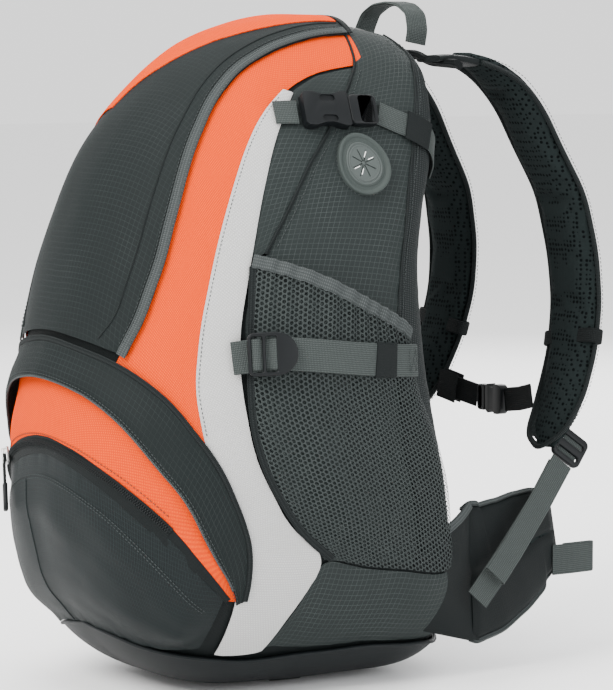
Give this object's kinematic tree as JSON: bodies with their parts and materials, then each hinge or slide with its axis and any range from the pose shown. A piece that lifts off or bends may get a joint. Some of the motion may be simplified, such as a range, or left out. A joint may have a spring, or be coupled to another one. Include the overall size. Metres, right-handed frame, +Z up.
{
  "type": "daypack",
  "caption": "Stuffed hiking daypack with a curved front, opening front panel, lower pocket, mesh bottle pockets, compression straps and a padded harness.",
  "frame": {"origin": "on the base's flat underside, in the middle plane, under the main compartment", "axes": "+Z up the back, +X to the wearer's right, +Y from the bag towards the wearer"},
  "size_m": [0.3364, 0.4606, 0.537],
  "materials": {
    "back_pad": "air mesh over foam",
    "base_panel": "coated heavy nylon",
    "cable_port": "soft moulded",
    "frame_sheet": "moulded, fine matt",
    "front_panel": "ripstop nylon",
    "front_pocket_lower": "ripstop nylon",
    "front_pocket_upper": "dobby polyester",
    "grab_handle": "woven webbing",
    "hip_loop_left": "woven webbing",
    "hip_loop_right": "woven webbing",
    "hip_wing_left": "air mesh over foam",
    "hip_wing_right": "air mesh over foam",
    "hydration_sleeve": "ripstop nylon",
    "keeper_band_left": "woven webbing",
    "keeper_band_right": "woven webbing",
    "lower_lock_left": "moulded, fine matt",
    "lower_lock_right": "moulded, fine matt",
    "lower_web_left": "woven webbing",
    "lower_web_right": "woven webbing",
    "lumbar_pad": "air mesh over foam",
    "main_shell": "ripstop nylon",
    "main_zip_pull": "woven webbing",
    "main_zip_slider": "satin zinc alloy",
    "main_zip_track": "nylon coil",
    "mesh_hem_left": "woven webbing",
    "mesh_hem_right": "woven webbing",
    "mesh_pocket_left": "stretch mesh",
    "mesh_pocket_right": "stretch mesh",
    "orange_band_left": "dobby polyester",
    "orange_band_right": "dobby polyester",
    "pocket_hood": "ripstop nylon",
    "pocket_zip_pull": "woven webbing",
    "pocket_zip_slider": "satin zinc alloy",
    "pocket_zip_track": "nylon coil",
    "shoulder_pad_left": "air mesh over foam",
    "shoulder_pad_right": "air mesh over foam",
    "side_lower_left": "ripstop nylon",
    "side_lower_right": "ripstop nylon",
    "sternum_buckle_female": "moulded, fine matt",
    "sternum_buckle_male": "moulded, fine matt",
    "sternum_web_left": "woven webbing",
    "sternum_web_right": "woven webbing",
    "strap_lock_left": "moulded, fine matt",
    "strap_lock_right": "moulded, fine matt",
    "strap_tail_left": "woven webbing",
    "strap_tail_right": "woven webbing",
    "strap_web_left": "woven webbing",
    "strap_web_right": "woven webbing",
    "upper_buckle_female_left": "moulded, fine matt",
    "upper_buckle_female_right": "moulded, fine matt",
    "upper_buckle_male_left": "moulded, fine matt",
    "upper_buckle_male_right": "moulded, fine matt",
    "upper_web_front_left": "woven webbing",
    "upper_web_front_right": "woven webbing",
    "upper_web_rear_left": "woven webbing",
    "upper_web_rear_right": "woven webbing",
    "white_band_left": "ribbed polyester",
    "white_band_right": "ribbed polyester",
    "yoke": "ripstop nylon"
  },
  "bodies": {
    "pack": {"main_shell": "main_shell", "back_pad": "back_pad", "base_panel": "base_panel", "cable_port": "cable_port", "frame_sheet": "frame_sheet", "front_pocket_lower": "front_pocket_lower", "front_pocket_upper": "front_pocket_upper", "hydration_sleeve": "hydration_sleeve", "lower_web_left": "lower_web_left", "lower_web_right": "lower_web_right", "lumbar_pad": "lumbar_pad", "main_zip_track": "main_zip_track", "mesh_hem_left": "mesh_hem_left", "mesh_hem_right": "mesh_hem_right", "mesh_pocket_left": "mesh_pocket_left", "mesh_pocket_right": "mesh_pocket_right", "orange_band_left": "orange_band_left", "orange_band_right": "orange_band_right", "pocket_hood": "pocket_hood", "pocket_zip_track": "pocket_zip_track", "side_lower_left": "side_lower_left", "side_lower_right": "side_lower_right", "upper_buckle_female_left": "upper_buckle_female_left", "upper_buckle_female_right": "upper_buckle_female_right", "upper_buckle_male_left": "upper_buckle_male_left", "upper_buckle_male_right": "upper_buckle_male_right", "upper_web_front_left": "upper_web_front_left", "upper_web_front_right": "upper_web_front_right", "upper_web_rear_left": "upper_web_rear_left", "upper_web_rear_right": "upper_web_rear_right", "white_band_left": "white_band_left", "white_band_right": "white_band_right", "yoke": "yoke"},
    "flap": {"front_panel": "front_panel"},
    "main_slider": {"main_zip_slider": "main_zip_slider"},
    "main_pull": {"main_zip_pull": "main_zip_pull"},
    "pocket_slider": {"pocket_zip_slider": "pocket_zip_slider"},
    "pocket_pull": {"pocket_zip_pull": "pocket_zip_pull"},
    "strap_right": {"shoulder_pad_right": "shoulder_pad_right", "keeper_band_right": "keeper_band_right", "strap_web_right": "strap_web_right", "strap_tail_right": "strap_tail_right", "sternum_web_right": "sternum_web_right", "sternum_buckle_female": "sternum_buckle_female"},
    "sternum_left_half": {"sternum_buckle_male": "sternum_buckle_male", "sternum_web_left": "sternum_web_left"},
    "strap_left": {"shoulder_pad_left": "shoulder_pad_left", "keeper_band_left": "keeper_band_left", "strap_web_left": "strap_web_left", "strap_tail_left": "strap_tail_left"},
    "strap_adjuster_right": {"strap_lock_right": "strap_lock_right"},
    "strap_adjuster_left": {"strap_lock_left": "strap_lock_left"},
    "side_adjuster_right": {"lower_lock_right": "lower_lock_right"},
    "side_adjuster_left": {"lower_lock_left": "lower_lock_left"},
    "hip_right": {"hip_wing_right": "hip_wing_right", "hip_loop_right": "hip_loop_right"},
    "hip_left": {"hip_wing_left": "hip_wing_left", "hip_loop_left": "hip_loop_left"},
    "handle": {"grab_handle": "grab_handle"}
  },
  "joints": [
    {"name": "flap_hinge", "type": "hinge", "parent": "pack", "child": "flap", "pos_m": [0, -0.206, 0.265], "axis": [1, 0, 0], "range_deg": [0, 60]},
    {"name": "main_zip_run", "type": "hinge", "parent": "pack", "child": "main_slider", "pos_m": [-0.11282, 0.02589, 0.35951], "axis": [0.9566, 0.0556, -0.286], "range_deg": [0, 60]},
    {"name": "main_pull_swing", "type": "hinge", "parent": "main_slider", "child": "main_pull", "pos_m": [-0.0729, 0.02678, 0.50783], "axis": [0.7533, 0.0359, 0.6567], "range_deg": [0, 75]},
    {"name": "pocket_zip_run", "type": "hinge", "parent": "pack", "child": "pocket_slider", "pos_m": [0, -0.1269, 0.0882], "axis": [0, 0.7976, 0.6032], "range_deg": [0, 66]},
    {"name": "pocket_pull_swing", "type": "hinge", "parent": "pocket_slider", "child": "pocket_pull", "pos_m": [-0.0757, -0.19921, 0.1786], "axis": [-0.829, 0.335, -0.4477], "range_deg": [0, 60]},
    {"name": "strap_swing_right", "type": "hinge", "parent": "pack", "child": "strap_right", "pos_m": [0.072, 0.113, 0.49], "axis": [0.1591, -0.03, -0.9868], "range_deg": [0, 22]},
    {"name": "strap_adjuster_tilt_right", "type": "hinge", "parent": "strap_right", "child": "strap_adjuster_right", "pos_m": [0.11226, 0.22448, 0.18341], "axis": [0.2308, 0.7584, -0.6095], "range_deg": [0, 35]},
    {"name": "side_adjuster_tilt_right", "type": "hinge", "parent": "pack", "child": "side_adjuster_right", "pos_m": [0.16265, -0.0803, 0.27343], "axis": [-0.1309, 0.0241, 0.9911], "range_deg": [0, 40]},
    {"name": "hip_fold_right", "type": "hinge", "parent": "pack", "child": "hip_right", "pos_m": [0.112, 0.106, 0.082], "axis": [0, 0, 1], "range_deg": [0, 38]},
    {"name": "strap_swing_left", "type": "hinge", "parent": "pack", "child": "strap_left", "pos_m": [-0.072, 0.113, 0.49], "axis": [0.1591, 0.03, 0.9868], "range_deg": [0, 22]},
    {"name": "strap_adjuster_tilt_left", "type": "hinge", "parent": "strap_left", "child": "strap_adjuster_left", "pos_m": [-0.11226, 0.22448, 0.18341], "axis": [0.2308, -0.7584, 0.6095], "range_deg": [0, 35]},
    {"name": "side_adjuster_tilt_left", "type": "hinge", "parent": "pack", "child": "side_adjuster_left", "pos_m": [-0.16265, -0.0803, 0.27343], "axis": [-0.1309, -0.0241, -0.9911], "range_deg": [0, 40]},
    {"name": "hip_fold_left", "type": "hinge", "parent": "pack", "child": "hip_left", "pos_m": [-0.112, 0.106, 0.082], "axis": [0, 0, -1], "range_deg": [0, 38]},
    {"name": "sternum_release", "type": "slide", "parent": "strap_right", "child": "sternum_left_half", "axis": [-1, 0, 0], "range_m": [0, 0.012]},
    {"name": "handle_fold", "type": "hinge", "parent": "pack", "child": "handle", "pos_m": [0, 0.117, 0.503], "axis": [1, 0, 0], "range_deg": [0, 45]}
  ]
}
